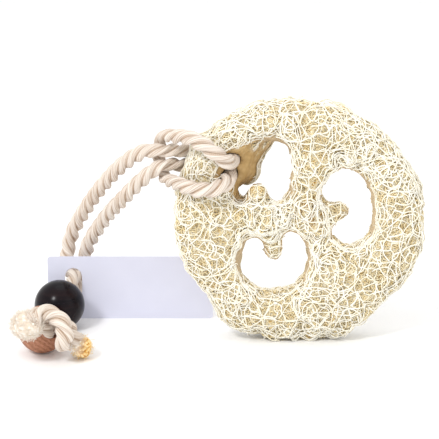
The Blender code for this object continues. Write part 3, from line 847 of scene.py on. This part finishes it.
def make_loofah(rope):
    rope_tree = tree_of(rope[:, :3])
    core = smooth_loofah()
    subdivided = core.copy()
    subdivided.data = core.data.copy()
    bpy.context.scene.collection.objects.link(subdivided)
    subdivided.modifiers.new("finer", 'SUBSURF').levels = 1
    apply_modifiers(subdivided)
    surface = surface_of(subdivided.data)
    bpy.data.objects.remove(subdivided, do_unlink=True)
    fine, middle, coarse = [net_route(surface, rope, rope_tree, cells, points, seed)
                            for cells, points, seed in ((FINE_CELLS, 2, 11), (MIDDLE_CELLS, 3, 12),
                                                        (COARSE_CELLS, 6, 13))]
    coarse_tree = tree_of(coarse[0].reshape(-1, 3))
    shape_core(core, rope, rope_tree, coarse_tree)
    core.data.shade_smooth()
    core.data.materials.append(core_material())
    piece(core, "loofah_fibre", "loofah")
    places, facing, _ = surface
    rim = from_middle(places) > RIM_FROM
    face = np.abs(facing[:, 1]) > 0.8
    lip = ~face & ~rim & (np.abs(places[:, 1]) > LIP_FROM)
    # Golden for the fine net, cream for the middle one and white for the coarse top net: painted shade
    # that deepens with depth.
    golden, cream, white = [fibre_material("fibre_" + name, *colours)
                            for name, colours in FIBRE_COLOURS.items()]
    layers = [
        (net("loofah_fine_net", fine, coarse_tree, sides=3, thick=0.2 * MM, depth=(0.25 * MM, 0.7 * MM),
             bulge=0, sway=0, gone=0.03, hub_gone=HUB_GONE, seed=11), golden),
        (net("loofah_middle_net", middle, coarse_tree, sides=3, thick=0.22 * MM,
             depth=(0.12 * MM, 0.4 * MM), bulge=0.2 * MM, sway=0.15 * MM, gone=0.05, hub_gone=HUB_GONE,
             seed=12), cream),
        (net("loofah_coarse_net", coarse, coarse_tree, sides=4, thick=0.29 * MM, depth=(-0.05 * MM, 0),
             bulge=0.25 * MM, sway=0.3 * MM, gone=0.04, hub_gone=0, seed=13), white),
        (fibres("loofah_lip_fibres", surface, rope, rope_tree, count=260, chosen=lip, along=0.9,
                lift=(0, 0.25 * MM), thick=0.24 * MM, seed=14), white),
        (fibres("loofah_rim_fibres", surface, rope, rope_tree, count=300, chosen=rim, along=0.12,
                lift=(0, 1.2 * MM), thick=0.25 * MM, seed=15), white),
        (fibres("loofah_face_fibres", surface, rope, rope_tree, count=120, chosen=face, along=0.0,
                lift=(0, 0.3 * MM), thick=0.26 * MM, seed=16), white)]
    for layer, material in layers:
        layer.data.materials.append(material)
        piece(layer, "loofah_fibre", "loofah")


# Rope

def laid_rope(name, line, radii, pitch, material, *nodes):
    """Three strands laid together: a tube whose section has three lobes that turn along it."""
    _, side, other = carried_frames(line)
    run = np.concatenate([[0], np.cumsum(np.linalg.norm(np.diff(line, axis=0), axis=1))])
    turn = np.arange(ROPE_SIDES) * 2 * pi / ROPE_SIDES
    lay = turn[None, :] + 2 * pi * run[:, None] / pitch
    third = 2 * pi / 3
    from_strand = (lay % third) - third / 2
    reach = STRAND_OUT * np.cos(from_strand) + np.sqrt(STRAND_WIDE ** 2
                                                       - (STRAND_OUT * np.sin(from_strand)) ** 2)
    verts = line[:, None] + (radii[:, None] * reach)[:, :, None] * (
        side[:, None] * np.cos(turn)[None, :, None] + other[:, None] * np.sin(turn)[None, :, None])
    index = np.arange(len(line) * ROPE_SIDES).reshape(len(line), ROPE_SIDES)
    after = np.roll(index, -1, axis=1)
    faces = np.stack([index[:-1], after[:-1], after[1:], index[1:]], axis=-1).reshape(-1, 4).tolist()
    faces += [index[0, ::-1].tolist(), index[-1].tolist()]
    mesh = bpy.data.meshes.new(name)
    mesh.from_pydata(verts.reshape(-1, 3).tolist(), [], faces)
    # How much painted shade each place gets in the creases between strands.
    crease_shade = ease((CREASE_FROM - reach) / CREASE_FADE) * CREASE_SHADE
    give(mesh, "crease_shade", crease_shade.ravel())
    wrap = np.stack([np.broadcast_to(run[:, None] / ROPE_THICK, reach.shape),
                     np.cos(lay), np.sin(lay)], axis=-1)
    mesh.attributes.new("wrap", 'FLOAT_VECTOR', 'POINT').data.foreach_set("vector", wrap.ravel())
    obj = shown(name, mesh)
    mesh.materials.append(material)
    return piece(obj, "cotton", *nodes)


def make_loose_strand(material):
    fine = curve_through(LOOSE_STRAND, 16)
    fine[:, 0] += TO_MIDDLE
    fine *= MM
    return laid_rope("loose_strand", fine[:, :3], fine[:, 3], LOOSE_PITCH, material)


def curly_fibres(name, starts, headings, steps, stride, bend, thick, colours, rng):
    """Fine fibres that wander off from these starts."""
    count = len(starts)
    strides = stride * rng.uniform(0.5, 1.3, (count, 1))
    turn = rng.normal(0, bend, (count, 3))
    place, heading, route = starts, headings, [starts]
    for _ in range(steps):
        turn = 0.75 * turn + rng.normal(0, bend / 2, (count, 3))
        heading = unit(heading + turn)
        place = place + heading * strides
        route.append(place)
    paths = np.stack(route, axis=1)
    paths[:, :, 2] = np.maximum(paths[:, :, 2], 2 * thick)
    ways = unit(np.cross(np.gradient(paths, axis=1), (0.3, 0.5, 0.81)))
    radii = thick * rng.uniform(0.7, 1.2, (count, 1)) * np.linspace(1, 0.6, steps + 1)[None, :]
    obj = strands(name, paths, ways, radii, 3, rng.random(count))
    obj.data.materials.append(fibre_material(name, *colours))
    return piece(obj, "cotton")


def curled_ball(name, centre, reach, cream, material, fibres_out, colours, seed):
    """A ball of tight curls with some fibres that stand off it. reach is its half size along x, y
    and z."""
    deselect()
    bpy.ops.mesh.primitive_ico_sphere_add(subdivisions=6, radius=1)
    ball = bpy.context.active_object
    ball.name = name
    places, _, _ = surface_of(ball.data)
    rng = np.random.default_rng(seed)
    sites = unit(rng.normal(size=(CURLS, 3)))
    middle = np.array(centre) * MM + np.array([TO_MIDDLE * MM, 0, 0])
    reach = np.array(reach) * MM
    away = np.arccos(np.clip((places @ sites.T).max(axis=1), -1, 1)) * reach.mean()
    curl = ease(1 - away / CURL_SIZE)
    lumps = np.sin(places @ rng.normal(0, 2.2, (3, 3)) + 1).sum(axis=1) / 3
    grown = places * (reach * (0.95 + 0.07 * lumps)[:, None] + CURL_HEIGHT * (curl - 0.5)[:, None])
    # How cream each place is. On the golden tuft the cream grows towards the upper left, where it is
    # painted light.
    share, along_x, along_z = cream
    side = ease(share + along_x * places[:, 0] + along_z * places[:, 2] + 0.25 * lumps)
    ball.data.vertices.foreach_set("co", grown.ravel())
    ball.data.update()
    give(ball.data, "curl", curl)
    give(ball.data, "side", side)
    ball.data.shade_smooth()
    ball.data.materials.append(material)
    ball.location = middle
    piece(ball, "cotton")
    ways = unit(rng.normal(size=(fibres_out, 3)))
    headings = unit(ways * 0.6 + rng.normal(0, 0.8, ways.shape))
    fuzz = curly_fibres(name + "_fibres", middle + ways * reach, headings, steps=8, stride=0.22 * MM,
                        bend=0.35, thick=0.12 * MM, colours=colours, rng=rng)
    return ball, fuzz


# Beads and card

def make_bead(name, centre, radius, bore_along, material, slot, node_name):
    """A turned bead: a ball with a bore, and its two mouths eased."""
    deselect()
    bpy.ops.mesh.primitive_uv_sphere_add(segments=72, ring_count=36, radius=radius)
    bead = bpy.context.active_object
    bead.name = name
    deselect()
    bpy.ops.mesh.primitive_cylinder_add(vertices=48, radius=BORE_RADIUS, depth=radius * 3)
    drill = bpy.context.active_object
    choose(bead)
    bore = bead.modifiers.new("bore", 'BOOLEAN')
    bore.object = drill
    eased = bead.modifiers.new("eased", 'BEVEL')
    eased.width = BORE_EASE
    eased.segments = 3
    eased.angle_limit = radians(35)
    apply_modifiers(bead)
    bpy.data.objects.remove(drill, do_unlink=True)
    bead.location = Vector(centre) * MM
    bead.location.x += TO_MIDDLE * MM
    bead.rotation_mode = 'QUATERNION'
    bead.rotation_quaternion = Vector(bore_along).to_track_quat('Z', 'Y')
    choose(bead)
    bpy.ops.object.shade_smooth_by_angle(angle=radians(30))
    bead.data.materials.append(material)
    return piece(bead, slot, node_name)


def make_card():
    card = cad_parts["tag_card"]
    card.data.materials.clear()
    card.data.materials.append(card_material())
    return card


# Stage

def area_light(name, place, target, size, power):
    deselect()
    bpy.ops.object.light_add(type='AREA', location=place)
    light = bpy.context.active_object
    light.name = name
    light.data.shape = 'DISK'
    light.data.size = size
    light.data.energy = power
    light.rotation_euler = (Vector(target) - Vector(place)).to_track_quat('-Z', 'Y').to_euler()


def make_stage():
    deselect()
    bpy.ops.mesh.primitive_plane_add(size=12)
    floor = bpy.context.active_object
    floor.name = "floor"
    material, shader = new_material("floor_white", 0.6)
    shader.inputs["Base Color"].default_value = (0.97, 0.97, 0.97, 1)
    shader.inputs["Specular IOR Level"].default_value = 0.2
    floor.data.materials.append(material)
    world = bpy.data.worlds.new("studio")
    world.use_nodes = True
    world.node_tree.nodes["Background"].inputs["Color"].default_value = (1, 1, 1, 1)
    world.node_tree.nodes["Background"].inputs["Strength"].default_value = WORLD_LIGHT
    bpy.context.scene.world = world
    for lamp in LAMPS:
        area_light(*lamp)
    bpy.context.scene.view_settings.view_transform = 'Standard'


def make_camera():
    deselect()
    bpy.ops.object.camera_add(location=CAMERA_PLACE, rotation=(pi / 2 - CAMERA_DOWN, 0, 0))
    camera = bpy.context.active_object
    camera.data.sensor_width = SENSOR
    camera.data.lens = SENSOR * CAMERA_AWAY / (PICTURE_SIDE * PIXEL)
    bpy.context.scene.camera = camera


def main():
    make_camera()
    make_stage()
    rope, length = rope_line()
    cotton = cotton_material()
    rope_piece = laid_rope("rope", rope[:, :3], np.minimum(rope[:, 3], ROPE_THICKEST), ROPE_PITCH, cotton,
                           "cotton_rope")
    make_loofah(rope)
    dark = make_bead("dark_bead", DARK_CENTRE, DARK_RADIUS, DARK_BORE_ALONG, gloss_material(),
                     "dark_gloss", "bead_dark")
    brown = make_bead("brown_bead", BROWN_CENTRE, BROWN_RADIUS, BROWN_BORE_ALONG, wood_material(),
                      "bare_wood", "bead_brown")
    card = make_card()
    curls = tuft_material()
    fray = curled_ball("frayed_end", FRAY_CENTRE, FRAY_REACH, FRAY_CREAM, curls, FRAY_FIBRES,
                       FRAY_COLOURS, seed=21)
    tuft = curled_ball("golden_tuft", TUFT_CENTRE, TUFT_REACH, TUFT_LIT_CREAM, curls, TUFT_FIBRES,
                       TUFT_COLOURS, seed=22)
    soft = [*fray, *tuft, make_loose_strand(cotton)]


main()
